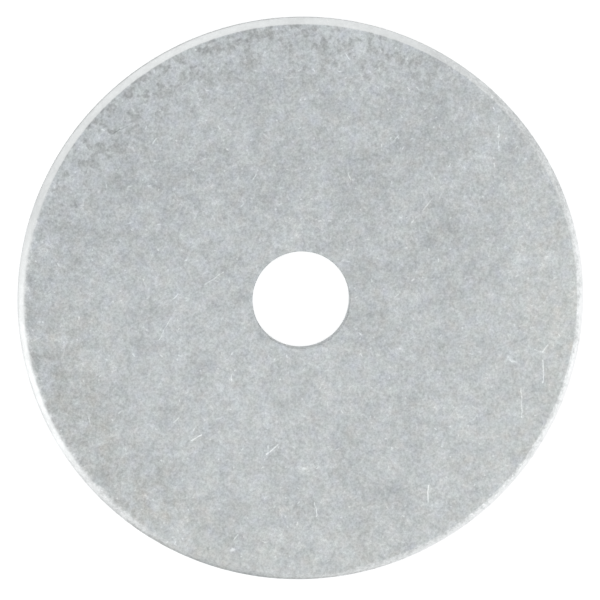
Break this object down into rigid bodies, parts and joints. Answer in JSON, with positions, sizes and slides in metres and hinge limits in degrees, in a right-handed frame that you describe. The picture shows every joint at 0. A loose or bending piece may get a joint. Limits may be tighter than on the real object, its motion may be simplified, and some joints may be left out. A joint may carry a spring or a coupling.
{
  "type": "large flat washer",
  "caption": "Large flat washer, a thin round disc of zinc-plated steel with a small central bolt hole and a softly rolled rim.",
  "frame": {"origin": "centre of the bolt hole, on the underside that the washer lies on", "axes": "+Z along the bolt hole's axis, from the underside to the show face with the rolled rim; X and Y are any two directions across the disc"},
  "size_m": [0.0508, 0.0508, 0.0016],
  "materials": {
    "zinc_plate": "satin zinc plating, bluish grey and finely mottled, on punched steel sheet"
  },
  "bodies": {
    "root": {"washer": "zinc_plate"}
  },
  "joints": []
}
